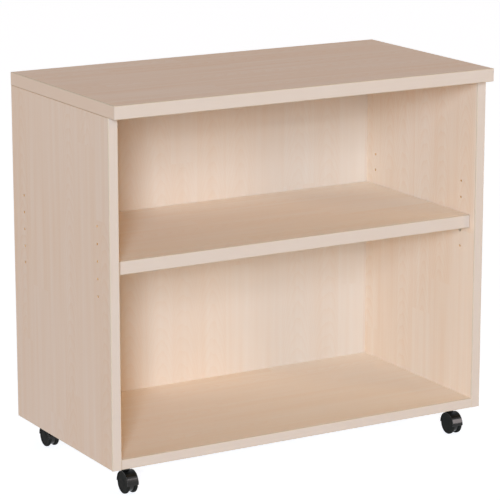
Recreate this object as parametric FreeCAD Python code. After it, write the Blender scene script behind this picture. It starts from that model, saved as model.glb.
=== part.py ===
import FreeCAD, Part
import os

from FreeCAD import Vector

# Boards of the carcass
unit_width = 800.0
top_depth = 420.0
top_thickness = 25.0
top_overhang = 24.0
side_height = 642.0
board_thickness = 19.0
back_thickness = 8.0
back_inset = 7.7
groove_depth = 8.0
groove_clearance = 0.15
groove_end_gap = 0.5

# Edging strips glued to the sawn edges of the boards
edging_thickness = 2.0
edging_radius = 1.5

# Adjustable shelf
shelf_thickness = 25.0
shelf_setback = 17.3
shelf_side_clearance = 1.0
shelf_back_clearance = 1.0

# Rows of pin holes drilled right through the sides
pin_hole_radius = 2.5
pin_setback = 48.0
pin_pitch = 32.0
pin_rows = 5
lowest_pin_height = 313.0
shelf_row = 1

# Angled shelf supports, each pressed from sheet with a pin at its back
pin_clearance = 0.05
pin_length = 9.0
pin_chamfer = 0.5
support_rise = 9.7
support_tip_radius = 3.5
support_width = 12.0
support_shoulder = 3.0
support_reach = 14.0
support_corner_radius = 3.0
support_sheet = 1.5
support_rib_reach = 8.0

# Dowels between the sides and the top or bottom
dowel_radius = 4.0
dowel_clearance = 0.05
dowel_length = 35.0
dowel_end_gap = 1.0
dowel_setback = 80.0
dowel_depth_in_side_face = 12.0
dowel_depth_in_top = 13.0
dowel_chamfer = 1.0

# Wheels of the twin-wheel castors
wheel_radius = 20.5
wheel_width = 6.4
wheel_edge_radius = 2.2
wheel_side_clearance = 0.3
wheel_hub_radius = 6.5
wheel_rim = 4.0
wheel_face_recess = 0.7
wheel_back_recess = 2.4
wheel_cap = 1.6

# Axle, pressed into the castor's web
axle_radius = 2.5
axle_seat_clearance = 0.02
axle_running_clearance = 0.08
axle_end_gap = 0.3
axle_chamfer = 0.4

# Hood, moulded in one with the web between the wheels and the pivot boss
castor_trail = 8.1
tread_clearance = 0.5
hood_wall = 1.2
hood_skirt = 1.0
hood_edge_radius = 0.8
web_radius = 17.5
core_wall = 1.45
pivot_neck = 9.8
pivot_boss_radius = 8.0
pivot_boss_chamfer = 0.8
pivot_clearance = 0.05
swivel_gap = 0.5

# Kingpin, riveted into the castor plate, and the ring that keeps the hood on it
kingpin_radius = 3.0
kingpin_length = 24.0
kingpin_head_flare = 1.5
kingpin_head_depth = 1.5
kingpin_seat_clearance = 0.02
kingpin_tip_gap = 0.6
kingpin_chamfer = 0.6
ring_thickness = 1.2
ring_groove_depth = 0.6
ring_stand_out = 0.9
ring_clearance = 0.05
ring_running_gap = 0.3
ring_drop = 5.0
ring_slot = 2.4

# Castor plate and its screws
plate_size = 38.0
plate_thickness = 2.0
plate_corner_radius = 4.0
plate_margin_x = 6.7
plate_margin_y = 17.4
plate_hole_inset = 4.5
plate_hole_clearance = 0.2
screw_radius = 1.9
screw_clearance = 0.05
screw_length = 16.0
screw_tip = 2.5
screw_tip_radius = 0.5
screw_end_gap = 0.5
screw_head_radius = 3.6
screw_head_height = 2.2
screw_head_rounding = 1.0

# Levels, from the floor up
hood_radius = wheel_radius + tread_clearance + hood_wall
axle_z = wheel_radius
boss_top = axle_z + hood_radius + pivot_neck
ring_bottom = boss_top - ring_drop - ring_thickness
plate_bottom = boss_top + swivel_gap
carcass_z = plate_bottom + plate_thickness
bottom_top = carcass_z + board_thickness
top_z = carcass_z + side_height
unit_height = top_z + top_thickness
pin_levels = [carcass_z + lowest_pin_height + row * pin_pitch for row in range(pin_rows)]
shelf_pin_z = pin_levels[shelf_row]
shelf_z = shelf_pin_z + support_rise

# Faces across the width and the depth
half_width = unit_width / 2
inner_x = half_width - board_thickness
shelf_half = inner_x - shelf_side_clearance
top_front = -top_depth / 2
carcass_back = top_depth / 2
side_front = top_front + top_overhang
board_front = side_front + edging_thickness
board_back = carcass_back - edging_thickness
back_front = carcass_back - back_inset - back_thickness
back_rear = back_front + back_thickness
groove_y = (back_front - groove_clearance, back_rear + groove_clearance)
shelf_front = side_front + shelf_setback
shelf_back = back_front - shelf_back_clearance

# Faces of a castor across its axle
core_half = kingpin_radius + pivot_clearance + core_wall
wheel_inner = core_half + wheel_side_clearance
hood_half = wheel_inner + wheel_width + wheel_side_clearance

# Places of what repeats
pin_columns = {"front": side_front + pin_setback, "rear": carcass_back - pin_setback}
dowel_columns = (
    side_front + dowel_setback,
    (side_front + carcass_back) / 2,
    carcass_back - dowel_setback,
)
sides = {"left": -1, "right": 1}
castor_inset_y = plate_margin_y + plate_size / 2
castor_columns = {"front": side_front + castor_inset_y, "rear": carcass_back - castor_inset_y}
castor_x = inner_x - plate_margin_x - plate_size / 2
castor_places = {
    end + "_" + side: Vector(sign * castor_x, y, 0)
    for side, sign in sides.items()
    for end, y in castor_columns.items()
}
screw_offset = plate_size / 2 - plate_hole_inset
screw_offsets = [Vector(x * screw_offset, y * screw_offset, 0) for x in (-1, 1) for y in (-1, 1)]

UP = Vector(0, 0, 1)
TO_RIGHT = Vector(1, 0, 0)
TO_BACK = Vector(0, 1, 0)
TOLERANCE = 1e-6
ROUNDING_SHARE = 0.9

os.makedirs("parts", exist_ok=True)


def save(name, *solids):
    """Write one piece, or a group of like pieces, to the file of its name."""
    shape = solids[0] if len(solids) == 1 else Part.makeCompound(solids)
    shape.exportStep("parts/" + name + ".step")
    print(name, len(shape.Solids), shape.isValid(), round(shape.Volume, 1))


def box(x, y, z):
    """A box between two values on each axis, given in either order."""
    low = Vector(min(x), min(y), min(z))
    return Part.makeBox(max(x) - low.x, max(y) - low.y, max(z) - low.z, low)


def rod(radius, start, direction, length):
    return Part.makeCylinder(radius, length, start, direction)


def circles(solid, level=None, radius=None):
    """The circular edges of a solid: all, or those at one level or of one radius."""
    found = [edge for edge in solid.Edges if isinstance(edge.Curve, Part.Circle)]
    if level is not None:
        found = [edge for edge in found if abs(edge.Curve.Center.z - level) < TOLERANCE]
    if radius is not None:
        found = [edge for edge in found if abs(edge.Curve.Radius - radius) < TOLERANCE]
    return found


def chamfered_rod(radius, start, direction, length, chamfer):
    """A rod with both of its rims chamfered."""
    body = rod(radius, start, direction, length)
    return body.makeChamfer(chamfer, circles(body))


def turned(profile, centre, axis, across):
    """A solid of revolution from a closed profile of (along the axis, radius) points."""
    points = [centre + axis * along + across * radius for along, radius in profile]
    face = Part.Face(Part.makePolygon(points + points[:1]))
    return face.revolve(centre, axis, 360)


def outer_edges(solid, axis, limit, along):
    """The edges that lie in the plane axis = limit and run in the direction along."""
    found = []
    for edge in solid.Edges:
        start, end = edge.Vertexes[0].Point, edge.Vertexes[-1].Point
        in_plane = abs(start[axis] - limit) + abs(end[axis] - limit) < TOLERANCE
        if in_plane and abs(start[along] - end[along]) > TOLERANCE:
            found.append(edge)
    return found


def edging(x, y, z, axis, limit, along):
    """A strip of edging with its two long outer edges rounded."""
    strip = box(x, y, z)
    radius = min(edging_radius, ROUNDING_SHARE * edging_thickness)
    return strip.makeFillet(radius, outer_edges(strip, axis, limit, along))


def dowel_in_side(sign, y):
    """A dowel from the side's inner face into the end of the bottom panel, and its bore."""
    start = Vector(sign * (inner_x + dowel_depth_in_side_face), y, carcass_z + board_thickness / 2)
    inward = TO_RIGHT * -sign
    bore = rod(dowel_radius, start, inward, dowel_length + dowel_end_gap)
    dowel_start = start + inward * (dowel_end_gap / 2)
    dowel = chamfered_rod(dowel_radius - dowel_clearance, dowel_start, inward, dowel_length, dowel_chamfer)
    return dowel, bore


def dowel_in_top(sign, y):
    """A dowel from the upper end of the side into the top panel, and its bore."""
    start = Vector(sign * (half_width - board_thickness / 2), y, top_z + dowel_depth_in_top)
    down = UP * -1
    bore = rod(dowel_radius, start, down, dowel_length + dowel_end_gap)
    dowel_start = start + down * (dowel_end_gap / 2)
    dowel = chamfered_rod(dowel_radius - dowel_clearance, dowel_start, down, dowel_length, dowel_chamfer)
    return dowel, bore


def top_panel():
    board_half = half_width - edging_thickness
    board = box((-board_half, board_half), (top_front + edging_thickness, board_back), (top_z, unit_height))
    groove_half = inner_x + groove_depth
    groove = box((-groove_half, groove_half), groove_y, (top_z, top_z + groove_depth))
    bores = [dowel_in_top(sign, y)[1] for sign in sides.values() for y in dowel_columns]
    return board.cut([groove] + bores)


def top_panel_edging():
    """Front and rear strips over the whole width, and the side strips between them."""
    z = (top_z, unit_height)
    across = (-half_width, half_width)
    deep = (top_front + edging_thickness, board_back)
    strips = [
        edging(across, (top_front, deep[0]), z, 1, top_front, 0),
        edging(across, (deep[1], carcass_back), z, 1, carcass_back, 0),
    ]
    for sign in sides.values():
        x = (sign * half_width, sign * (half_width - edging_thickness))
        strips.append(edging(x, deep, z, 0, sign * half_width, 1))
    return strips


def side_panel(sign):
    """A side with its pin holes, the groove for the back and the bores for the dowels."""
    board = box((sign * inner_x, sign * half_width), (board_front, board_back),
                (carcass_z + edging_thickness, top_z))
    groove = box((sign * inner_x, sign * (inner_x + groove_depth)), groove_y,
                 (bottom_top - groove_depth, top_z))
    cuts = [groove]
    for y in pin_columns.values():
        for z in pin_levels:
            start = Vector(sign * half_width, y, z)
            cuts.append(rod(pin_hole_radius, start, TO_RIGHT * -sign, board_thickness))
    for y in dowel_columns:
        cuts.append(dowel_in_side(sign, y)[1])
        cuts.append(dowel_in_top(sign, y)[1])
    return board.cut(cuts)


def side_edging(sign):
    """Front and rear strips over the whole height, and the bottom strip between them."""
    x = (sign * inner_x, sign * half_width)
    z = (carcass_z, top_z)
    return [
        edging(x, (side_front, board_front), z, 1, side_front, 2),
        edging(x, (board_back, carcass_back), z, 1, carcass_back, 2),
        edging(x, (board_front, board_back), (carcass_z, carcass_z + edging_thickness), 2, carcass_z, 1),
    ]


def bottom_panel():
    """The bottom with its groove, the bores for the dowels and the pilot holes for the castors."""
    board = box((-inner_x, inner_x), (board_front, board_back), (carcass_z, bottom_top))
    groove = box((-inner_x, inner_x), groove_y, (bottom_top - groove_depth, bottom_top))
    bores = [dowel_in_side(sign, y)[1] for sign in sides.values() for y in dowel_columns]
    pilot_top = plate_bottom + screw_length + screw_end_gap
    pilots = []
    for place in castor_places.values():
        for offset in screw_offsets:
            start = place + offset + UP * carcass_z
            pilots.append(rod(screw_radius + screw_clearance, start, UP, pilot_top - carcass_z))
    return board.cut([groove] + bores + pilots)


def bottom_panel_edging():
    across = (-inner_x, inner_x)
    z = (carcass_z, bottom_top)
    return [
        edging(across, (side_front, board_front), z, 1, side_front, 0),
        edging(across, (board_back, carcass_back), z, 1, carcass_back, 0),
    ]


def back_panel():
    """A thin board whose four edges stand in the grooves."""
    reach = groove_depth - groove_end_gap
    half = inner_x + reach
    return box((-half, half), (back_front, back_rear), (bottom_top - reach, top_z + reach))


def shelf_panel():
    return box((-shelf_half, shelf_half), (shelf_front + edging_thickness, shelf_back),
               (shelf_z, shelf_z + shelf_thickness))


def shelf_edging():
    return edging((-shelf_half, shelf_half), (shelf_front, shelf_front + edging_thickness),
                  (shelf_z, shelf_z + shelf_thickness), 1, shelf_front, 0)


def shelf_support(sign, y):
    """A pressed angle with a rounded tip, a rib under its ledge and a pin for the hole."""
    inward = TO_RIGHT * -sign
    centre = Vector(sign * inner_x, y, shelf_pin_z)
    half = support_width / 2
    shoulder = support_rise - support_shoulder
    tip = support_tip_radius

    def at(across, up):
        return centre + TO_BACK * across + UP * up

    outline = Part.Wire([
        Part.makeLine(at(-half, shoulder), at(-half, support_rise)),
        Part.makeLine(at(-half, support_rise), at(half, support_rise)),
        Part.makeLine(at(half, support_rise), at(half, shoulder)),
        Part.makeLine(at(half, shoulder), at(tip, 0)),
        Part.Arc(at(tip, 0), at(0, -tip), at(-tip, 0)).toShape(),
        Part.makeLine(at(-tip, 0), at(-half, shoulder)),
    ])
    plate = Part.Face(outline).extrude(inward * support_sheet)
    ledge_x = (centre.x, centre.x + inward.x * support_reach)
    ledge = box(ledge_x, (y - half, y + half), (shelf_z - support_sheet, shelf_z))
    corners = outer_edges(ledge, 0, ledge_x[1], 2)
    ledge = ledge.makeFillet(min(support_corner_radius, ROUNDING_SHARE * half), corners)

    rib_front = centre + TO_BACK * (-support_sheet / 2)
    rib_points = [
        rib_front,
        rib_front + UP * (support_rise - support_sheet / 2),
        rib_front + UP * (support_rise - support_sheet / 2) + inward * (support_sheet + support_rib_reach),
        rib_front + inward * support_sheet,
    ]
    rib = Part.Face(Part.makePolygon(rib_points + rib_points[:1])).extrude(TO_BACK * support_sheet)
    peg = chamfered_rod(pin_hole_radius - pin_clearance, centre + inward * (support_sheet / 2), inward * -1,
                        pin_length + support_sheet / 2, pin_chamfer)
    return plate.fuse([ledge, rib, peg]).removeSplitter()


def castor_plate():
    """A square plate with rounded corners, four screw holes and a countersunk pivot hole."""
    half = plate_size / 2
    plate = box((-half, half), (-half, half), (plate_bottom, carcass_z))
    corners = outer_edges(plate, 0, -half, 2) + outer_edges(plate, 0, half, 2)
    plate = plate.makeFillet(plate_corner_radius, corners)
    holes = [
        rod(screw_radius + plate_hole_clearance, offset + UP * plate_bottom, UP, plate_thickness)
        for offset in screw_offsets
    ]
    return plate.cut(holes + [kingpin(kingpin_seat_clearance, False)])


def kingpin(oversize, grooved):
    """The pivot pin, hanging from its countersunk head in the plate, with the ring's groove."""
    radius = kingpin_radius + oversize
    head_start = kingpin_length - kingpin_head_depth
    profile = [(0, 0), (0, radius - kingpin_chamfer), (kingpin_chamfer, radius)]
    if grooved:
        groove_low = kingpin_length - (carcass_z - ring_bottom) - ring_clearance
        groove_high = groove_low + ring_thickness + 2 * ring_clearance
        floor = radius - ring_groove_depth
        profile += [(groove_low, radius), (groove_low, floor), (groove_high, floor), (groove_high, radius)]
    profile += [(head_start, radius), (kingpin_length, radius + kingpin_head_flare), (kingpin_length, 0)]
    return turned(profile, Vector(0, 0, carcass_z - kingpin_length), UP, TO_RIGHT)


def kingpin_ring():
    """An open spring ring that sits in the kingpin's groove."""
    start = UP * ring_bottom
    ring = rod(kingpin_radius + ring_stand_out, start, UP, ring_thickness)
    bore = rod(kingpin_radius - ring_groove_depth + ring_clearance, start, UP, ring_thickness)
    slot = box((-ring_slot / 2, ring_slot / 2), (0, kingpin_radius + ring_stand_out),
               (ring_bottom, ring_bottom + ring_thickness))
    return ring.cut([bore, slot])


def castor_hood():
    """Half-round hood, the web between the wheels and the boss that turns on the kingpin."""
    axle = Vector(-hood_half, -castor_trail, axle_z)
    front = axle - TO_BACK * hood_radius
    rear = axle + TO_BACK * hood_radius
    crown = axle + UP * hood_radius
    drop = UP * -hood_skirt
    outline = Part.Wire([
        Part.Arc(front, crown, rear).toShape(),
        Part.makeLine(rear, rear + drop),
        Part.makeLine(rear + drop, front + drop),
        Part.makeLine(front + drop, front),
    ])
    shell = Part.Face(outline).extrude(TO_RIGHT * (2 * hood_half))
    shell = shell.makeFillet(min(hood_edge_radius, ROUNDING_SHARE * hood_wall), circles(shell))

    web_start = Vector(-core_half, -castor_trail, axle_z)
    web = rod(web_radius, web_start, TO_RIGHT, 2 * core_half)
    boss = rod(pivot_boss_radius, UP * axle_z, UP, boss_top - axle_z)
    boss = boss.makeChamfer(pivot_boss_chamfer, circles(boss, level=boss_top))
    body = shell.fuse([web, boss])

    pocket_depth = hood_half - core_half + hood_wall
    cuts = []
    for sign in sides.values():
        start = Vector(sign * core_half, -castor_trail, axle_z)
        cuts.append(rod(wheel_radius + tread_clearance, start, TO_RIGHT * sign, pocket_depth))
    pivot_low = carcass_z - kingpin_length - kingpin_tip_gap
    cuts.append(rod(kingpin_radius + pivot_clearance, UP * pivot_low, UP, boss_top - pivot_low))
    ring_room = kingpin_radius + ring_stand_out + ring_running_gap
    ring_room_low = ring_bottom - ring_running_gap
    cuts.append(rod(ring_room, UP * ring_room_low, UP, ring_thickness + 2 * ring_running_gap))
    cuts.append(rod(axle_radius + axle_seat_clearance, web_start, TO_RIGHT, 2 * core_half))
    return body.cut(cuts).removeSplitter()


def castor_axle():
    half = wheel_inner + wheel_width - wheel_cap - axle_end_gap
    return chamfered_rod(axle_radius, Vector(-half, -castor_trail, axle_z), TO_RIGHT, 2 * half, axle_chamfer)


def castor_wheel(sign):
    """A wheel with rounded tread edges, dished at the back and capped over the axle."""
    bore = axle_radius + axle_running_clearance
    rim = wheel_radius - wheel_rim
    face = wheel_width - wheel_face_recess
    cap = wheel_width - wheel_cap
    profile = [
        (0, bore),
        (0, wheel_hub_radius),
        (wheel_back_recess, wheel_hub_radius),
        (wheel_back_recess, rim),
        (0, rim),
        (0, wheel_radius),
        (wheel_width, wheel_radius),
        (wheel_width, rim),
        (face, rim),
        (face, wheel_hub_radius),
        (wheel_width, wheel_hub_radius),
        (wheel_width, 0),
        (cap, 0),
        (cap, bore),
    ]
    wheel = turned(profile, Vector(sign * wheel_inner, -castor_trail, axle_z), TO_RIGHT * sign, UP)
    return wheel.makeFillet(wheel_edge_radius, circles(wheel, radius=wheel_radius))


def castor_screw(place):
    """A round-headed screw, driven up through the plate into the bottom panel."""
    head_low = plate_bottom - screw_head_height
    head = rod(screw_head_radius, UP * head_low, UP, screw_head_height)
    head = head.makeFillet(screw_head_rounding, circles(head, level=head_low))
    shank_length = screw_length - screw_tip
    shank = rod(screw_radius, UP * plate_bottom, UP, shank_length)
    tip_start = UP * (plate_bottom + shank_length)
    tip = Part.makeCone(screw_radius, screw_tip_radius, screw_tip, tip_start, UP)
    return head.fuse([shank, tip]).translated(place)


# Carcass
save("top_panel", top_panel())
save("top_panel_edging", *top_panel_edging())
for side, sign in sides.items():
    save(side + "_side_panel", side_panel(sign))
    save(side + "_side_edging", *side_edging(sign))
save("bottom_panel", bottom_panel())
save("bottom_panel_edging", *bottom_panel_edging())
save("back_panel", back_panel())
save("top_dowels", *[dowel_in_top(sign, y)[0] for sign in sides.values() for y in dowel_columns])
save("bottom_dowels", *[dowel_in_side(sign, y)[0] for sign in sides.values() for y in dowel_columns])

# Shelf on its supports
save("shelf_panel", shelf_panel())
save("shelf_edging", shelf_edging())
for side, sign in sides.items():
    for end, y in pin_columns.items():
        save(end + "_" + side + "_shelf_support", shelf_support(sign, y))

# Castors, all four alike and trailing to the front
castor_pieces = {
    "castor_plate": castor_plate(),
    "castor_kingpin": kingpin(0, True),
    "castor_hood": castor_hood(),
    "castor_axle": castor_axle(),
    "castor_left_wheel": castor_wheel(-1),
    "castor_right_wheel": castor_wheel(1),
}
for corner, place in castor_places.items():
    for piece, shape in castor_pieces.items():
        save(corner + "_" + piece, shape.translated(place))
save("kingpin_rings", *[kingpin_ring().translated(place) for place in castor_places.values()])
screw_places = [place + offset for place in castor_places.values() for offset in screw_offsets]
save("castor_screws", *[castor_screw(place) for place in screw_places])
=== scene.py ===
import math

import bmesh
import bpy
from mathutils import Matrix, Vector


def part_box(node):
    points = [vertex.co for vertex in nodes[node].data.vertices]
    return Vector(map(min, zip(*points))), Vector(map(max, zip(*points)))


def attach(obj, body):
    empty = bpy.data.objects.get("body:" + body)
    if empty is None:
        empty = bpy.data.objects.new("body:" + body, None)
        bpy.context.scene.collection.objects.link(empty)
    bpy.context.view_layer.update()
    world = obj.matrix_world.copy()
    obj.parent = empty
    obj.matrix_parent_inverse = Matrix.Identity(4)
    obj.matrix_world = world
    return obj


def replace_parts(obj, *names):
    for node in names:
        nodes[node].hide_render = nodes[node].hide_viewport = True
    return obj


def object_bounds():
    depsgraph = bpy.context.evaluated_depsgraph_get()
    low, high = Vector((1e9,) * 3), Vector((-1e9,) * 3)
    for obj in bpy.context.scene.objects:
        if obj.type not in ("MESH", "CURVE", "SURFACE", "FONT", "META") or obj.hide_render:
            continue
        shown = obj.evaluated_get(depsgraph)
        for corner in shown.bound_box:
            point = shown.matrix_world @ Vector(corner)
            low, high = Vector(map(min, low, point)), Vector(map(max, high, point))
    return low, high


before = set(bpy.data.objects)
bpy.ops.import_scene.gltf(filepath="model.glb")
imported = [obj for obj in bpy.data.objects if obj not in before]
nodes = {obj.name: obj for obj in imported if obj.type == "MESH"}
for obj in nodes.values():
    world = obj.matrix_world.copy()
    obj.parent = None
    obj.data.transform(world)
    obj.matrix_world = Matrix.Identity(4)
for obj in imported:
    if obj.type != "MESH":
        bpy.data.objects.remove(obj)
cad_low, cad_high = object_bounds()


# Side panels
# Two 19 mm chipboards faced with printed maple under melamine resin, the grain upright.
# The top lies on them and the bottom stands between them, all glued on dowels.

MM = 0.001
X, Y, Z = 0, 1, 2


def linear(colour):
    """The linear value of an sRGB colour written as hex."""
    parts = [int(colour[i:i + 2], 16) / 255 for i in (1, 3, 5)]
    return (*(p / 12.92 if p <= 0.04045 else ((p + 0.055) / 1.055) ** 2.4 for p in parts), 1.0)


def add(tree, kind, inputs=None, **settings):
    """Adds a node with its settings, and feeds its inputs with values, with sockets or with nodes.

    A node gives its first output, and a list gives all its members to one input.
    """
    node = tree.nodes.new(kind)
    for name, value in settings.items():
        setattr(node, name, value)
    for name, value in (inputs or {}).items():
        for source in value if isinstance(value, list) else [value]:
            if isinstance(source, bpy.types.Node):
                source = source.outputs[0]
            if isinstance(source, bpy.types.NodeSocket):
                tree.links.new(source, node.inputs[name])
            else:
                node.inputs[name].default_value = source
    return node


def new_material(name):
    """An empty node material, with the tree to fill."""
    material = bpy.data.materials.new(name)
    material.use_nodes = True
    material.node_tree.nodes.clear()
    return material, material.node_tree


def maple_board(name, grain, face, start, dark, pale):
    """Melamine-faced chipboard: printed maple on the wide faces, raw chips on each sawn face and bore.

    The print shows planks laid end to end, each with its own tone, long fibres and soft streaks,
    and some with a stack of arches, all of it faint and under a satin skin of resin. The grain runs
    along one axis, the wide faces look along another, and start is the board's place on the print.
    """
    plank = (64 * MM, 620 * MM)
    plank_unevenness = 0.3
    plank_stagger = 9.0
    plank_depths = 40.0
    # The printed fibres are about 0.4 mm wide. They are drawn coarser, so that they show.
    fibre = (1.8 * MM, 110 * MM)
    streak = (13 * MM, 480 * MM)
    waver = (30 * MM, 220 * MM)
    fibre_share = 0.36
    streak_share = 1.05
    waver_share = 0.55
    plank_share = 0.24
    arch_share = -0.36
    arch_rise = 28 * MM
    arch_steepness = 14
    arch_waver = 2.5
    arch_sharpness = 3.0
    arched_planks = (0.35, 0.60)
    chip = 1.6 * MM
    wide_face = 0.7
    material, tree = new_material(name)
    coordinates = add(tree, "ShaderNodeTexCoord").outputs
    axes = add(tree, "ShaderNodeSeparateXYZ", {"Vector": coordinates["Object"]}).outputs
    across = add(tree, "ShaderNodeMath", {0: axes[3 - grain - face], 1: start[0]}, operation="ADD")
    along = add(tree, "ShaderNodeMath", {0: axes[grain], 1: start[1]}, operation="ADD")

    place = add(tree, "ShaderNodeMath", {0: across, 1: 1 / plank[0]}, operation="MULTIPLY")
    planks = add(tree, "ShaderNodeTexVoronoi", {
        "W": place, "Scale": 1.0, "Randomness": plank_unevenness}, voronoi_dimensions="1D").outputs
    row = add(tree, "ShaderNodeSeparateColor", {"Color": planks["Color"]}).outputs
    shift = add(tree, "ShaderNodeMath", {0: row["Red"], 1: plank_stagger}, operation="MULTIPLY")
    end = add(tree, "ShaderNodeMath", {0: along, 1: 1 / plank[1], 2: shift}, operation="MULTIPLY_ADD")
    count = add(tree, "ShaderNodeMath", {0: end}, operation="FLOOR")
    block = add(tree, "ShaderNodeCombineXYZ", {"X": count, "Y": row["Green"]})
    draw = add(tree, "ShaderNodeTexWhiteNoise", {"Vector": block}, noise_dimensions="2D").outputs
    lot = add(tree, "ShaderNodeSeparateColor", {"Color": draw["Color"]}).outputs
    depth = add(tree, "ShaderNodeMath", {0: lot["Red"], 1: plank_depths}, operation="MULTIPLY")
    sheet = add(tree, "ShaderNodeCombineXYZ", {"X": across, "Y": along, "Z": depth})
    noises = []
    for width, length in (fibre, streak, waver):
        stretched = add(tree, "ShaderNodeMapping", {"Vector": sheet, "Scale": (1 / width, 1 / length, 1)})
        noises.append(add(tree, "ShaderNodeTexNoise", {"Vector": stretched, "Scale": 1.0, "Detail": 2.0}))
    fibres, streaks, wavers = noises

    beside = add(tree, "ShaderNodeMath", {0: place, 1: planks["W"]}, operation="SUBTRACT")
    bow = add(tree, "ShaderNodeMath", {0: beside, 1: beside}, operation="MULTIPLY")
    climb = add(tree, "ShaderNodeMath", {0: along, 1: 1 / arch_rise, 2: depth}, operation="MULTIPLY_ADD")
    level = add(tree, "ShaderNodeMath", {0: bow, 1: arch_steepness, 2: climb}, operation="MULTIPLY_ADD")
    bent = add(tree, "ShaderNodeMath", {0: wavers, 1: arch_waver, 2: level}, operation="MULTIPLY_ADD")
    ring = add(tree, "ShaderNodeMath", {0: bent}, operation="FRACT")
    line = add(tree, "ShaderNodeMath", {0: ring, 1: arch_sharpness}, operation="POWER")
    arched = add(tree, "ShaderNodeMapRange", {
        "Value": lot["Blue"], "From Min": arched_planks[0], "From Max": arched_planks[1]})
    arches = add(tree, "ShaderNodeMath", {0: line, 1: arched}, operation="MULTIPLY")

    tone = 0.5 - (fibre_share + streak_share + waver_share + plank_share) / 2
    for source, share in ((fibres, fibre_share), (streaks, streak_share), (wavers, waver_share),
                          (lot["Green"], plank_share), (arches, arch_share)):
        tone = add(tree, "ShaderNodeMath", {0: source, 1: share, 2: tone}, operation="MULTIPLY_ADD")
    maple = add(tree, "ShaderNodeMix", {0: tone, 6: linear(dark), 7: linear(pale)},
                data_type="RGBA").outputs[2]

    chips = add(tree, "ShaderNodeTexVoronoi", {"Vector": coordinates["Object"], "Scale": 1 / chip}).outputs
    raw = add(tree, "ShaderNodeMix", {0: chips["Color"], 6: linear("#cd8c4a"), 7: linear("#efc78e")},
              data_type="RGBA").outputs[2]
    normal = add(tree, "ShaderNodeSeparateXYZ", {"Vector": coordinates["Normal"]}).outputs
    facing = add(tree, "ShaderNodeMath", {0: normal[face]}, operation="ABSOLUTE")
    wide = add(tree, "ShaderNodeMath", {0: facing, 1: wide_face}, operation="GREATER_THAN")
    colour = add(tree, "ShaderNodeMix", {0: wide, 6: raw, 7: maple}, data_type="RGBA").outputs[2]
    roughness = add(tree, "ShaderNodeMapRange", {"Value": fibres, "To Min": 0.48, "To Max": 0.62})
    bump = add(tree, "ShaderNodeBump", {"Height": fibres, "Strength": 0.12, "Distance": 0.05 * MM})
    shader = add(tree, "ShaderNodeBsdfPrincipled", {
        "Base Color": colour, "Roughness": roughness, "Normal": bump,
        "IOR": 1.5, "Specular IOR Level": 0.3})
    add(tree, "ShaderNodeOutputMaterial", {"Surface": shader})
    return material


# The right side's print is painted paler than the left side's, to make up for the shade on its inner face
# inside the unit.
nodes["left_side_panel"].material_slots[0].material = maple_board(
    "maple_melamine_left", Z, X, (0.04, 0.31), "#dfc1a7", "#e4cfbe")
nodes["right_side_panel"].material_slots[0].material = maple_board(
    "maple_melamine_right", Z, X, (0.92, -0.40), "#eed2b6", "#f4e2ce")


# Pin holes
# Two columns of holes, drilled right through each side for the shelf's supports.
# The drill leaves a small burr of torn resin and chips just inside each mouth.

PAIR = 2
PIN_HOLE_RADIUS = 2.5 * MM
PIN_COLUMNS_APART = 300 * MM
PIN_ROWS_APART = 32 * MM
PIN_ROWS = 5
SIDE_MIDDLE = 12 * MM
PIN_MIDDLE_LEVEL = 432 * MM
SUPPORT_LEVEL = 400 * MM
NO_SUPPORT = 0.0
BURR = 0.3 * MM
MOUTH_SIDES = 28
BURR_SIDES = 7
SHARP_EDGE = 35


def geometry_tree(name, sizes):
    """A Geometry Nodes tree with a named input for each size, and the sockets that give them."""
    tree = bpy.data.node_groups.new(name, "GeometryNodeTree")
    tree.interface.new_socket("Geometry", in_out="OUTPUT", socket_type="NodeSocketGeometry")
    for label, kind in sizes.items():
        tree.interface.new_socket(label, in_out="INPUT", socket_type="NodeSocket" + kind)
    return tree, add(tree, "NodeGroupInput").outputs


def close_tree(tree, instances, material):
    """Ends a tree: its instances are made real and get their material."""
    real = add(tree, "GeometryNodeRealizeInstances", {"Geometry": instances})
    done = add(tree, "GeometryNodeSetMaterial", {"Geometry": real, "Material": material})
    add(tree, "NodeGroupOutput", {"Geometry": done})


def soften(piece):
    """Smooth shading that leaves flat faces flat, and an edge sharper than SHARP_EDGE degrees sharp."""
    piece.data.shade_smooth()
    piece.data.set_sharp_from_angle(angle=math.radians(SHARP_EDGE))
    weighting = piece.modifiers.new("weighting", "WEIGHTED_NORMAL")
    weighting.keep_sharp = True
    shaded = piece.evaluated_get(bpy.context.evaluated_depsgraph_get())
    plain = bpy.data.meshes.new_from_object(shaded)
    piece.modifiers.remove(weighting)
    piece.data = plain


def grow(name, tree, sizes, body):
    """Runs a tree once with the given sizes, and keeps the result as a plain mesh that rides on a body."""
    piece = bpy.data.objects.new(name, bpy.data.meshes.new(name))
    bpy.context.scene.collection.objects.link(piece)
    growth = piece.modifiers.new("growth", "NODES")
    growth.node_group = tree
    for socket in tree.interface.items_tree:
        if socket.in_out == "INPUT":
            growth[socket.identifier] = sizes[socket.name]
    grown = piece.evaluated_get(bpy.context.evaluated_depsgraph_get())
    plain = bpy.data.meshes.new_from_object(grown)
    piece.modifiers.remove(growth)
    piece.data = plain
    soften(piece)
    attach(piece, body)
    return piece


def torn_chipboard(name):
    """Chips and resin torn by the drill: dull, tan, uneven in colour."""
    chip = 0.6 * MM
    material, tree = new_material(name)
    place = add(tree, "ShaderNodeTexCoord").outputs["Object"]
    chips = add(tree, "ShaderNodeTexNoise", {"Vector": place, "Scale": 1 / chip, "Detail": 2.0})
    colour = add(tree, "ShaderNodeMix", {0: chips, 6: linear("#cc8c4c"), 7: linear("#eecb98")},
                 data_type="RGBA").outputs[2]
    shader = add(tree, "ShaderNodeBsdfPrincipled", {
        "Base Color": colour, "Roughness": 0.85, "Specular IOR Level": 0.2})
    add(tree, "ShaderNodeOutputMaterial", {"Surface": shader})
    return material


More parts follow.
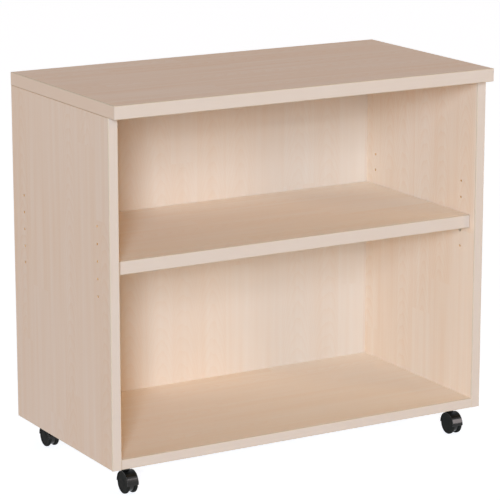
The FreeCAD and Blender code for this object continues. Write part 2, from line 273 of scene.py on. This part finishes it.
burrs, size = geometry_tree("drilled_mouths", {
    "Columns apart": "Float", "Rows apart": "Float", "Rows": "Int", "Middle": "Vector",
    "Taken level": "Float", "Hole radius": "Float", "Burr": "Float", "Material": "Material"})
steps = add(burrs, "ShaderNodeMath", {0: size["Rows"], 1: 1.0}, operation="SUBTRACT")
height = add(burrs, "ShaderNodeMath", {0: size["Rows apart"], 1: steps}, operation="MULTIPLY")
holes = add(burrs, "GeometryNodeMeshGrid", {
    "Size X": size["Columns apart"], "Size Y": height, "Vertices X": PAIR, "Vertices Y": size["Rows"]})
upright = add(burrs, "GeometryNodeTransform", {
    "Geometry": holes, "Translation": size["Middle"], "Rotation": (math.pi / 2, 0, math.pi / 2)})
place = add(burrs, "GeometryNodeInputPosition")
level = add(burrs, "ShaderNodeSeparateXYZ", {"Vector": place}).outputs["Z"]
above = add(burrs, "ShaderNodeMath", {0: level, 1: size["Taken level"]}, operation="SUBTRACT")
off = add(burrs, "ShaderNodeMath", {0: above}, operation="ABSOLUTE")
taken = add(burrs, "ShaderNodeMath", {0: off, 1: size["Hole radius"]}, operation="LESS_THAN")
free = add(burrs, "GeometryNodeDeleteGeometry", {"Geometry": upright, "Selection": taken})
mouth = add(burrs, "GeometryNodeCurvePrimitiveCircle", {
    "Resolution": MOUTH_SIDES, "Radius": size["Hole radius"]})
lip = add(burrs, "GeometryNodeCurvePrimitiveCircle", {"Resolution": BURR_SIDES, "Radius": size["Burr"]})
rim = add(burrs, "GeometryNodeCurveToMesh", {"Curve": mouth, "Profile Curve": lip})
rims = add(burrs, "GeometryNodeInstanceOnPoints", {
    "Points": free, "Instance": rim, "Rotation": (0, math.pi / 2, 0)})
close_tree(burrs, rims, size["Material"])

torn = torn_chipboard("torn_chipboard")
for side, outward in (("left", -1), ("right", 1)):
    low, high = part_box(side + "_side_panel")
    outer_mouth, inner_mouth = (high.x, low.x) if outward > 0 else (low.x, high.x)
    for mouth_name, x, taken_level in (("outer", outer_mouth - outward * BURR, NO_SUPPORT),
                                       ("inner", inner_mouth + outward * BURR, SUPPORT_LEVEL)):
        grow(side + "_" + mouth_name + "_hole_burrs", burrs, {
            "Columns apart": PIN_COLUMNS_APART, "Rows apart": PIN_ROWS_APART, "Rows": PIN_ROWS,
            "Middle": (x, SIDE_MIDDLE, PIN_MIDDLE_LEVEL), "Taken level": taken_level,
            "Hole radius": PIN_HOLE_RADIUS, "Burr": BURR, "Material": torn}, "carcass")


# Bottom panel
# A 19 mm board of the same faced chipboard, its grain running along the unit.
# It stands between the sides on dowels, and the castors are screwed to its underside.

# Its print is painted paler than the sides', to make up for the shade inside the unit.
nodes["bottom_panel"].material_slots[0].material = maple_board(
    "maple_melamine_bottom", X, Z, (1.73, 0.55), "#f6dfc6", "#faebd9")


# Back panel
# A thin board, faced on both sides, with its grain upright.
# It is slid into grooves of the sides, the top and the bottom before the unit is glued up.

nodes["back_panel"].material_slots[0].material = maple_board(
    "maple_melamine_back", Z, Y, (2.48, 0.75), "#e0c8b1", "#e3d2c0")


# Top panel
# A 25 mm board of faced chipboard that lies on the sides, glued on dowels.
# It stands proud of the sides and the shelf at the front.

# Its print is painted paler than the left side's, to make up for the low light that reaches its upper face.
nodes["top_panel"].material_slots[0].material = maple_board(
    "maple_melamine_top", X, Z, (4.05, -0.25), "#e9cbb6", "#efdcd1")


# Dowels
# Fluted beech rods, glued blind into bores of the sides, the top and the bottom.
# The flutes let the glue rise along the bore, and the chamfered ends find it.

DOWEL_RADIUS = 3.95 * MM
DOWEL_LENGTH = 35 * MM
DOWEL_CHAMFER = 1 * MM
DOWEL_FLUTES = 18
DOWEL_FLUTE_DEPTH = 0.35 * MM
DOWEL_ROWS = 3
DOWEL_ROWS_APART = 118 * MM
TOP_DOWELS_APART = 781 * MM
TOP_DOWEL_LEVEL = 692 * MM
BOTTOM_DOWELS_APART = 750 * MM
BOTTOM_DOWEL_LEVEL = 64.5 * MM
STANDING = (0.0, 0.0, 0.0)
LYING = (0.0, math.pi / 2, 0.0)


def beech(name):
    """Raw turned beech, dull and pinkish, with short dark rays."""
    ray = (0.5 * MM, 3 * MM)
    material, tree = new_material(name)
    place = add(tree, "ShaderNodeTexCoord").outputs["Object"]
    stretched = add(tree, "ShaderNodeMapping", {
        "Vector": place, "Scale": (1 / ray[0], 1 / ray[0], 1 / ray[1])})
    rays = add(tree, "ShaderNodeTexNoise", {"Vector": stretched, "Scale": 1.0, "Detail": 2.0})
    colour = add(tree, "ShaderNodeMix", {0: rays, 6: linear("#b98a5e"), 7: linear("#d8b089")},
                 data_type="RGBA").outputs[2]
    shader = add(tree, "ShaderNodeBsdfPrincipled", {"Base Color": colour, "Roughness": 0.7})
    add(tree, "ShaderNodeOutputMaterial", {"Surface": shader})
    return material


dowels, size = geometry_tree("fluted_dowels", {
    "Apart": "Float", "Rows apart": "Float", "Rows": "Int", "Middle": "Vector", "Turn": "Vector",
    "Length": "Float", "Radius": "Float", "Chamfer": "Float", "Flutes": "Int", "Flute depth": "Float",
    "Material": "Material"})
steps = add(dowels, "ShaderNodeMath", {0: size["Rows"], 1: 1.0}, operation="SUBTRACT")
reach = add(dowels, "ShaderNodeMath", {0: size["Rows apart"], 1: steps}, operation="MULTIPLY")
bores = add(dowels, "GeometryNodeMeshGrid", {
    "Size X": size["Apart"], "Size Y": reach, "Vertices X": PAIR, "Vertices Y": size["Rows"]})
placed = add(dowels, "GeometryNodeTransform", {"Geometry": bores, "Translation": size["Middle"]})

half = add(dowels, "ShaderNodeMath", {0: size["Length"], 1: 0.5}, operation="MULTIPLY")
end = add(dowels, "ShaderNodeCombineXYZ", {"Z": half})
other_end = add(dowels, "ShaderNodeVectorMath", {0: end, "Scale": -1.0}, operation="SCALE")
run = add(dowels, "GeometryNodeCurvePrimitiveLine", {"Start": other_end, "End": end})
# Two cuts leave points at a third of the half length, which then move out to the chamfers.
thirds = add(dowels, "GeometryNodeSubdivideCurve", {"Curve": run, "Cuts": 2})
ends = add(dowels, "GeometryNodeCurveEndpointSelection")
between = add(dowels, "FunctionNodeBooleanMath", {0: ends}, operation="NOT")
short = add(dowels, "ShaderNodeMath", {0: half, 1: size["Chamfer"]}, operation="SUBTRACT")
part = add(dowels, "ShaderNodeMath", {0: short, 1: half}, operation="DIVIDE")
stretch = add(dowels, "ShaderNodeMath", {0: part, 1: 3.0}, operation="MULTIPLY")
third = add(dowels, "GeometryNodeInputPosition")
shoulder = add(dowels, "ShaderNodeVectorMath", {0: third, "Scale": stretch}, operation="SCALE")
spine = add(dowels, "GeometryNodeSetPosition", {
    "Geometry": thirds, "Selection": between, "Position": shoulder})
narrow = add(dowels, "ShaderNodeMath", {0: size["Radius"], 1: size["Chamfer"]}, operation="SUBTRACT")
narrowing = add(dowels, "ShaderNodeMath", {0: narrow, 1: size["Radius"]}, operation="DIVIDE")
width = add(dowels, "GeometryNodeSwitch", {
    "Switch": ends, "False": 1.0, "True": narrowing}, input_type="FLOAT")
tapered = add(dowels, "GeometryNodeSetCurveRadius", {"Curve": spine, "Radius": width})
flute_floor = add(dowels, "ShaderNodeMath", {0: size["Radius"], 1: size["Flute depth"]},
                  operation="SUBTRACT")
flutes = add(dowels, "GeometryNodeCurveStar", {
    "Points": size["Flutes"], "Inner Radius": flute_floor, "Outer Radius": size["Radius"]})
rod = add(dowels, "GeometryNodeCurveToMesh", {
    "Curve": tapered, "Profile Curve": flutes, "Fill Caps": True})
turned = add(dowels, "FunctionNodeEulerToRotation", {"Euler": size["Turn"]})
rods = add(dowels, "GeometryNodeInstanceOnPoints", {
    "Points": placed, "Instance": rod, "Rotation": turned})
close_tree(dowels, rods, size["Material"])

turned_beech = beech("turned_beech")
for node, apart, level, turn in (("top_dowels", TOP_DOWELS_APART, TOP_DOWEL_LEVEL, STANDING),
                                 ("bottom_dowels", BOTTOM_DOWELS_APART, BOTTOM_DOWEL_LEVEL, LYING)):
    piece = grow("fluted_" + node, dowels, {
        "Apart": apart, "Rows apart": DOWEL_ROWS_APART, "Rows": DOWEL_ROWS,
        "Middle": (0.0, SIDE_MIDDLE, level), "Turn": turn, "Length": DOWEL_LENGTH, "Radius": DOWEL_RADIUS,
        "Chamfer": DOWEL_CHAMFER, "Flutes": DOWEL_FLUTES, "Flute depth": DOWEL_FLUTE_DEPTH,
        "Material": turned_beech}, "carcass")
    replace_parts(piece, node)


# Shelf supports
# Angled supports, pressed from nickel-plated sheet steel.
# Each has a pin that is pushed by hand into a hole of a side.

def plated_steel(name, colour, roughness):
    """Plated or oiled steel: a metal with a slightly cloudy skin and fine rolling marks."""
    cloud = 6 * MM
    # Real rolling marks are finer than 0.1 mm. They are drawn coarser, so that they show close up.
    mark = 0.4 * MM
    clearest, cloudiest = roughness - 0.08, roughness + 0.12
    material, tree = new_material(name)
    place = add(tree, "ShaderNodeTexCoord").outputs["Object"]
    clouds = add(tree, "ShaderNodeTexNoise", {"Vector": place, "Scale": 1 / cloud, "Detail": 3.0})
    marks = add(tree, "ShaderNodeTexNoise", {"Vector": place, "Scale": 1 / mark, "Detail": 2.0})
    rough = add(tree, "ShaderNodeMapRange", {"Value": clouds, "To Min": clearest, "To Max": cloudiest})
    bump = add(tree, "ShaderNodeBump", {"Height": marks, "Strength": 0.08, "Distance": 0.02 * MM})
    shader = add(tree, "ShaderNodeBsdfPrincipled", {
        "Base Color": linear(colour), "Metallic": 1.0, "Roughness": rough, "Normal": bump})
    add(tree, "ShaderNodeOutputMaterial", {"Surface": shader})
    return material


corners = [end_name + "_" + side for end_name in ("front", "rear") for side in ("left", "right")]
# Nickel looks pale and slightly warm, with a soft shine.
nickel = plated_steel("nickel_plated_steel", "#c9c4ba", 0.38)
for corner in corners:
    nodes[corner + "_shelf_support"].material_slots[0].material = nickel


# Adjustable shelf
# A 25 mm board of faced chipboard, its grain running along the unit.
# It lies loose on its four supports, and lifts off them.

# Its print is painted the palest of all the boards, to make up for the shade under the top and between the
# sides.
nodes["shelf_panel"].material_slots[0].material = maple_board(
    "maple_melamine_shelf", X, Z, (5.07, 0.20), "#f7e1c7", "#fbeddb")


# Edging
# Strips of ABS, 2 mm thick, glued to the sawn edges and milled round along both long edges.
# They carry the same maple print, only fainter, and show their honey-coloured body where milled.

EDGING = 2 * MM
EDGING_ROUNDING = 1.5 * MM
ROUNDING_STEPS = 6
SAME_PLACE = 1e-7
FLAT_FACE = 0.999
MILLED = 3


def abs_edging(name, grain, dark, pale):
    """Extruded ABS, printed with faint streaks along the strip, with a soft shine."""
    # The printed streaks are about 0.4 mm wide. They are drawn coarser, so that they show.
    streak = (1.6 * MM, 90 * MM)
    cloud = 70 * MM
    streak_share, cloud_share = 0.7, 0.5
    material, tree = new_material(name)
    place = add(tree, "ShaderNodeTexCoord").outputs["Object"]
    scale = [1 / streak[0]] * 3
    scale[grain] = 1 / streak[1]
    stretched = add(tree, "ShaderNodeMapping", {"Vector": place, "Scale": tuple(scale)})
    streaks = add(tree, "ShaderNodeTexNoise", {"Vector": stretched, "Scale": 1.0, "Detail": 2.0})
    clouds = add(tree, "ShaderNodeTexNoise", {"Vector": place, "Scale": 1 / cloud, "Detail": 2.0})
    tone = 0.5 - (streak_share + cloud_share) / 2
    for source, share in ((streaks, streak_share), (clouds, cloud_share)):
        tone = add(tree, "ShaderNodeMath", {0: source, 1: share, 2: tone}, operation="MULTIPLY_ADD")
    colour = add(tree, "ShaderNodeMix", {0: tone, 6: linear(dark), 7: linear(pale)},
                 data_type="RGBA").outputs[2]
    roughness = add(tree, "ShaderNodeMapRange", {"Value": streaks, "To Min": 0.45, "To Max": 0.60})
    bump = add(tree, "ShaderNodeBump", {"Height": streaks, "Strength": 0.10, "Distance": 0.05 * MM})
    shader = add(tree, "ShaderNodeBsdfPrincipled", {
        "Base Color": colour, "Roughness": roughness, "Normal": bump,
        "IOR": 1.53, "Specular IOR Level": 0.3})
    add(tree, "ShaderNodeOutputMaterial", {"Surface": shader})
    return material


def edging_strip(mesh, low, high, face, outer, along):
    """Adds a strip between two corners, the edges of its outer face rounded where they run along it."""
    others = set(mesh.faces)
    corners_made = bmesh.ops.create_cube(mesh, size=1)["verts"]
    for corner in corners_made:
        corner.co = [low[i] if corner.co[i] < 0 else high[i] for i in range(3)]
    rounded = []
    for edge in mesh.edges:
        start, end = (vertex.co for vertex in edge.verts)
        on_face = abs(start[face] - outer) + abs(end[face] - outer) < SAME_PLACE
        runs_along = abs(start[along] - end[along]) > SAME_PLACE
        if edge.verts[0] in corners_made and on_face and runs_along:
            rounded.append(edge)
    bmesh.ops.bevel(mesh, geom=rounded, offset=EDGING_ROUNDING, segments=ROUNDING_STEPS, profile=0.5,
                    affect="EDGES")
    mesh.normal_update()
    for new_face in set(mesh.faces) - others:
        milled = max(abs(part) for part in new_face.normal) < FLAT_FACE
        new_face.material_index = MILLED if milled else along


def as_piece(name, mesh, materials, body):
    """Makes a softly shaded object of a bmesh, and lets it ride on a body."""
    data = bpy.data.meshes.new(name)
    mesh.to_mesh(data)
    mesh.free()
    for material in materials:
        data.materials.append(material)
    piece = bpy.data.objects.new(name, data)
    bpy.context.scene.collection.objects.link(piece)
    soften(piece)
    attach(piece, body)
    return piece


# The print of each direction stands at its axis' number, and the milled body at MILLED.
# The print of the strips along Y, which face the sides, is painted warmer and a little paler than that of
# the strips facing front and back, to make up for the different light on them.
edging_finishes = [
    abs_edging("abs_edging_along_x", X, "#d5c0ae", "#d8c7b9"),
    abs_edging("abs_edging_along_y", Y, "#ddc1a9", "#e0c8b4"),
    abs_edging("abs_edging_along_z", Z, "#d5c0ae", "#d8c7b9"),
    abs_edging("abs_edging_milled", Z, "#cebaa2", "#d6c3ac")]


def edge_band(node, strips, body):
    """The strips round one board, each given as (face axis, which end of it, axis along it, butted)."""
    low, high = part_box(node)
    mesh = bmesh.new()
    for face, end, along, butted in strips:
        strip_low, strip_high = list(low), list(high)
        if end > 0:
            strip_low[face] = high[face] - EDGING
        else:
            strip_high[face] = low[face] + EDGING
        if butted:
            strip_low[along] += EDGING
            strip_high[along] -= EDGING
        outer = (strip_high if end > 0 else strip_low)[face]
        edging_strip(mesh, strip_low, strip_high, face, outer, along)
    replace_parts(as_piece("rounded_" + node, mesh, edging_finishes, body), node)


front_and_rear = [(Y, -1, X, False), (Y, 1, X, False)]
for side in ("left", "right"):
    edge_band(side + "_side_edging", [(Y, -1, Z, False), (Y, 1, Z, False), (Z, -1, Y, True)], "carcass")
edge_band("bottom_panel_edging", front_and_rear, "carcass")
edge_band("top_panel_edging", [*front_and_rear, (X, -1, Y, True), (X, 1, Y, True)], "carcass")
edge_band("shelf_edging", [(Y, -1, X, False)], "shelf")


# Castor plates, kingpins and axles
# Plates stamped from bright zinc-plated sheet, each with a kingpin riveted in, and axles of that finish.
# A ring of spring steel, clipped round each kingpin, keeps the hood on it.

# Bright zinc looks cooler and sharper than nickel, and oiled spring steel dark.
zinc = plated_steel("bright_zinc_steel", "#b9bcc0", 0.32)
spring = plated_steel("oiled_spring_steel", "#55555a", 0.40)
for corner in corners:
    for piece_name in ("plate", "kingpin", "axle"):
        nodes[corner + "_castor_" + piece_name].material_slots[0].material = zinc
nodes["kingpin_rings"].material_slots[0].material = spring


# Castor screws
# Round-headed wood screws with a cross recess and a rolled thread, in bright zinc.
# Four of them hold each castor's plate, driven up into the bottom panel.

SCREW_HEAD = (3.6 * MM, 3.6 * MM, 2.2 * MM)
SCREW_CORE = 1.5 * MM
SCREW_SHANK = 13.5 * MM
SCREW_TIP = 2.5 * MM
SCREW_TIP_RADIUS = 0.5 * MM
SCREW_THREAD = 0.35 * MM
SCREW_TURNS = 8.0
SCREWS_APART = 29 * MM
RECESS = (0.9 * MM, 4.0 * MM, 2.4 * MM)
HEAD_SEGMENTS = 32
HEAD_RINGS = 15
STEM_SIDES = 20
TURN_STEPS = 20
THREAD_SIDES = 3
WELD = 0.01 * MM

screws, size = geometry_tree("cross_head_screws", {
    "Castors apart": "Vector", "Middle": "Vector", "Screws apart": "Float", "Head": "Vector",
    "Core": "Float", "Shank": "Float", "Tip": "Float", "Tip radius": "Float", "Thread": "Float",
    "Turns": "Float", "Recess": "Vector", "Material": "Material"})
apart = add(screws, "ShaderNodeSeparateXYZ", {"Vector": size["Castors apart"]}).outputs
castors = add(screws, "GeometryNodeMeshGrid", {
    "Size X": apart["X"], "Size Y": apart["Y"], "Vertices X": PAIR, "Vertices Y": PAIR})
plates = add(screws, "GeometryNodeTransform", {"Geometry": castors, "Translation": size["Middle"]})
square = add(screws, "GeometryNodeMeshGrid", {
    "Size X": size["Screws apart"], "Size Y": size["Screws apart"], "Vertices X": PAIR, "Vertices Y": PAIR})
squares = add(screws, "GeometryNodeInstanceOnPoints", {"Points": plates, "Instance": square})
places = add(screws, "GeometryNodeRealizeInstances", {"Geometry": squares})

# The head is the lower half of a flattened ball, cut by a block above its seat and by two crossed blades.
head_size = add(screws, "ShaderNodeSeparateXYZ", {"Vector": size["Head"]}).outputs
ball = add(screws, "GeometryNodeMeshUVSphere", {
    "Segments": HEAD_SEGMENTS, "Rings": HEAD_RINGS, "Radius": 1.0})
dome = add(screws, "GeometryNodeTransform", {"Geometry": ball, "Scale": size["Head"]})
block_middle = add(screws, "ShaderNodeMath", {0: head_size["X"], 1: 2.0}, operation="MULTIPLY")
block_size = add(screws, "ShaderNodeMath", {0: block_middle, 1: 2.0}, operation="MULTIPLY")
above_seat = add(screws, "GeometryNodeTransform", {
    "Geometry": add(screws, "GeometryNodeMeshCube", {"Size": block_size}),
    "Translation": add(screws, "ShaderNodeCombineXYZ", {"Z": block_middle})})
crown = add(screws, "ShaderNodeMath", {0: head_size["Z"], 1: -1.0}, operation="MULTIPLY")
blade = add(screws, "GeometryNodeTransform", {
    "Geometry": add(screws, "GeometryNodeMeshCube", {"Size": size["Recess"]}),
    "Translation": add(screws, "ShaderNodeCombineXYZ", {"Z": crown})})
cross_blade = add(screws, "GeometryNodeTransform", {"Geometry": blade, "Rotation": (0, 0, math.pi / 2)})
head = add(screws, "GeometryNodeMeshBoolean", {
    "Mesh 1": dome, "Mesh 2": [above_seat, blade, cross_blade]}, operation="DIFFERENCE", solver="EXACT")
clean_head = add(screws, "GeometryNodeMergeByDistance", {"Geometry": head, "Distance": WELD})

# The tip starts a thread's height inside the shank, and the stem as far inside the head.
shank = add(screws, "GeometryNodeMeshCone", {
    "Vertices": STEM_SIDES, "Radius Top": size["Core"], "Radius Bottom": size["Core"],
    "Depth": size["Shank"]})
point = add(screws, "GeometryNodeMeshCone", {
    "Vertices": STEM_SIDES, "Radius Top": size["Tip radius"], "Radius Bottom": size["Core"],
    "Depth": size["Tip"]})
tip_start = add(screws, "ShaderNodeMath", {0: size["Shank"], 1: size["Thread"]}, operation="SUBTRACT")
tip = add(screws, "GeometryNodeTransform", {
    "Geometry": point, "Translation": add(screws, "ShaderNodeCombineXYZ", {"Z": tip_start})})
helix = add(screws, "GeometryNodeCurveSpiral", {
    "Resolution": TURN_STEPS, "Rotations": size["Turns"], "Start Radius": size["Core"],
    "End Radius": size["Core"], "Height": size["Shank"]})
ridge = add(screws, "GeometryNodeCurvePrimitiveCircle", {
    "Resolution": THREAD_SIDES, "Radius": size["Thread"]})
thread = add(screws, "GeometryNodeCurveToMesh", {
    "Curve": helix, "Profile Curve": ridge, "Fill Caps": True})
stem = add(screws, "GeometryNodeJoinGeometry", {"Geometry": [shank, tip, thread]})
root = add(screws, "ShaderNodeMath", {0: size["Thread"], 1: -1.0}, operation="MULTIPLY")
rooted = add(screws, "GeometryNodeTransform", {
    "Geometry": stem, "Translation": add(screws, "ShaderNodeCombineXYZ", {"Z": root})})
screw = add(screws, "GeometryNodeJoinGeometry", {"Geometry": [clean_head, rooted]})
driven = add(screws, "GeometryNodeInstanceOnPoints", {"Points": places, "Instance": screw})
close_tree(screws, driven, size["Material"])

plate_low, plate_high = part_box("front_left_castor_plate")
far_low, far_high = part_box("rear_right_castor_plate")
first, last = (plate_low + plate_high) / 2, (far_low + far_high) / 2
piece = grow("cross_head_screws", screws, {
    "Castors apart": tuple(last - first), "Middle": (*((first + last) / 2).xy, plate_low.z),
    "Screws apart": SCREWS_APART, "Head": SCREW_HEAD, "Core": SCREW_CORE, "Shank": SCREW_SHANK,
    "Tip": SCREW_TIP, "Tip radius": SCREW_TIP_RADIUS, "Thread": SCREW_THREAD, "Turns": SCREW_TURNS,
    "Recess": RECESS, "Material": zinc}, "carcass")
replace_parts(piece, "castor_screws")


# Castor hoods and wheels
# Moulded in black nylon: the hoods in a polished mould, the wheels in a matt one.
# A hood turns on its kingpin, and two wheels run on its axle.

def black_nylon(name, dark, pale, roughness, shine):
    """Moulded nylon, dyed black: a warm near-black with a very fine orange peel."""
    # A real orange peel is about 0.3 mm wide. It is drawn coarser, so that it shows close up.
    peel = 1.2 * MM
    smoothest, roughest = roughness - 0.05, roughness + 0.05
    material, tree = new_material(name)
    place = add(tree, "ShaderNodeTexCoord").outputs["Object"]
    peels = add(tree, "ShaderNodeTexNoise", {"Vector": place, "Scale": 1 / peel, "Detail": 2.0})
    colour = add(tree, "ShaderNodeMix", {0: peels, 6: linear(dark), 7: linear(pale)},
                 data_type="RGBA").outputs[2]
    rough = add(tree, "ShaderNodeMapRange", {"Value": peels, "To Min": smoothest, "To Max": roughest})
    bump = add(tree, "ShaderNodeBump", {"Height": peels, "Strength": 0.05, "Distance": 0.03 * MM})
    shader = add(tree, "ShaderNodeBsdfPrincipled", {
        "Base Color": colour, "Roughness": rough, "Normal": bump,
        "IOR": 1.53, "Specular IOR Level": shine})
    add(tree, "ShaderNodeOutputMaterial", {"Surface": shader})
    return material


def moulded(node, material, body):
    """A copy of a node's mesh with its loose triangles joined, so that its roundings shade smoothly."""
    join = 0.001 * MM
    mesh = bmesh.new()
    mesh.from_mesh(nodes[node].data)
    bmesh.ops.remove_doubles(mesh, verts=mesh.verts, dist=join)
    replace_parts(as_piece("moulded_" + node, mesh, [material], body), node)


# The polished mould gives the hoods a clear line of light, and the matt one leaves the wheels dull.
hood_nylon = black_nylon("polished_black_nylon", "#080807", "#10100d", roughness=0.15, shine=0.36)
wheel_nylon = black_nylon("matt_black_nylon", "#222220", "#2b2b28", roughness=0.60, shine=0.03)
for corner in corners:
    moulded(corner + "_castor_hood", hood_nylon, corner + "_castor")
    for side in ("left", "right"):
        wheel = side + "_wheel"
        moulded(corner + "_castor_" + wheel, wheel_nylon, corner + "_" + wheel)


# Floor
# A plain white studio floor, painted matt, that meets a white background.
# It keeps the object's shadow.

FLOOR_SIZE = 30.0
FLOOR_WHITENESS = 0.868


def seen_directly(tree):
    """One for rays of the camera, of gloss and of glass, which see the set as white, and zero for light."""
    path = add(tree, "ShaderNodeLightPath").outputs
    either = add(tree, "ShaderNodeMath", {0: path["Is Camera Ray"], 1: path["Is Glossy Ray"]},
                 operation="MAXIMUM")
    return add(tree, "ShaderNodeMath", {0: either, 1: path["Is Transmission Ray"]}, operation="MAXIMUM")


# Light meets pale matt paint. The camera sees darker paint with a glow on it, white with a soft shadow.
floor_paint, tree = new_material("white_studio_floor")
paint = add(tree, "ShaderNodeBsdfDiffuse", {"Color": linear("#e7e7e7")})
shaded = add(tree, "ShaderNodeBsdfDiffuse", {"Color": linear("#a8a8a8")})
white = add(tree, "ShaderNodeEmission", {"Color": linear("#f9fbff"), "Strength": FLOOR_WHITENESS})
seen = add(tree, "ShaderNodeAddShader", {0: shaded, 1: white})
mix = add(tree, "ShaderNodeMixShader", {0: seen_directly(tree), 1: paint, 2: seen})
add(tree, "ShaderNodeOutputMaterial", {"Surface": mix})
floor_mesh = bmesh.new()
bmesh.ops.create_grid(floor_mesh, x_segments=1, y_segments=1, size=FLOOR_SIZE / 2)
floor_data = bpy.data.meshes.new("floor")
floor_mesh.to_mesh(floor_data)
floor_mesh.free()
floor_data.materials.append(floor_paint)
floor = bpy.data.objects.new("floor", floor_data)
bpy.context.scene.collection.objects.link(floor)


# Light and background
# Two cool softboxes by the camera, a warm fill from the right and weaker lamps all round, all far off.
# A strip lamp beside the fill is seen in gloss alone, as the line of light on the castors' hoods.
# The room is dim and warm beside the lamps, but the camera, gloss and glass see it white.

AMBIENT = 0.23
SOFTBOX_DISTANCE = 24.0
world = bpy.data.worlds.new("white_room")
bpy.context.scene.world = world
world.use_nodes = True
room = world.node_tree
room.nodes.clear()
strength = add(room, "ShaderNodeMapRange", {"Value": seen_directly(room), "To Min": AMBIENT, "To Max": 1.0})
room_colour = add(room, "ShaderNodeMix", {
    0: seen_directly(room), 6: linear("#ffd796"), 7: linear("#ffffff")}, data_type="RGBA").outputs[2]
light = add(room, "ShaderNodeBackground", {"Color": room_colour, "Strength": strength})
add(room, "ShaderNodeOutputWorld", {"Surface": light})


def softbox(name, azimuth, elevation, size, power, colour, mirrored=False):
    """A softbox aimed at the middle of the object, placed by its direction from there.

    A mirrored one is only seen in gloss, and the others only light the surfaces.
    """
    turn, rise = math.radians(azimuth), math.radians(elevation)
    outward = Vector((math.sin(turn) * math.cos(rise), -math.cos(turn) * math.cos(rise), math.sin(rise)))
    lamp = bpy.data.lights.new(name, "AREA")
    lamp.shape = "RECTANGLE"
    lamp.size, lamp.size_y = size
    lamp.energy = power
    lamp.color = linear(colour)[:3]
    holder = bpy.data.objects.new(name, lamp)
    holder.location = (cad_low + cad_high) / 2 + outward * SOFTBOX_DISTANCE
    holder.rotation_euler = (-outward).to_track_quat("-Z", "Y").to_euler()
    holder.visible_glossy = mirrored
    holder.visible_diffuse = not mirrored
    bpy.context.scene.collection.objects.link(holder)


softbox("key_softbox", azimuth=-32, elevation=12, size=(4.0, 4.0), power=3200, colour="#d3eaff")
softbox("upper_softbox", azimuth=-32, elevation=20, size=(4.0, 4.0), power=2450, colour="#cce3ff")
softbox("left_softbox", azimuth=-85, elevation=12, size=(5.0, 5.0), power=530, colour="#ffe8e0")
softbox("low_left_softbox", azimuth=-60, elevation=12, size=(4.0, 4.0), power=120, colour="#f2f8ff")
softbox("right_softbox", azimuth=37, elevation=20, size=(5.6, 14.0), power=1280, colour="#ffdaa8")
# The strip hangs a degree aside, because of two lamps in one place gloss sees only one.
softbox("strip_softbox", azimuth=38, elevation=20, size=(5.6, 14.0), power=1600, colour="#fff0f0",
        mirrored=True)
softbox("far_right_softbox", azimuth=105, elevation=3, size=(5.0, 5.0), power=1800, colour="#c4e0ff")
softbox("back_softbox", azimuth=175, elevation=3, size=(5.0, 5.0), power=2200, colour="#f2f8ff")


# Camera
# At the photograph's place: 30 degrees to the left of the front, above the height of the top.
# A long lens, in millimetres on a full-frame sensor, gives the photograph's near-parallel edges.

LENS = 181.7
SENSOR_WIDTH = 36.0
CAMERA_PLACE = (-2.355, -4.023, 1.488)
CAMERA_TURN = -30.27
CAMERA_DIP = 13.41
camera_data = bpy.data.cameras.new("camera")
camera_data.sensor_width = SENSOR_WIDTH
camera_data.lens = LENS
camera_data.dof.use_dof = False
camera = bpy.data.objects.new("camera", camera_data)
camera.location = CAMERA_PLACE
camera.rotation_euler = (math.radians(90 - CAMERA_DIP), 0, math.radians(CAMERA_TURN))
bpy.context.scene.collection.objects.link(camera)
bpy.context.scene.camera = camera
bpy.context.scene.view_settings.view_transform = "Standard"
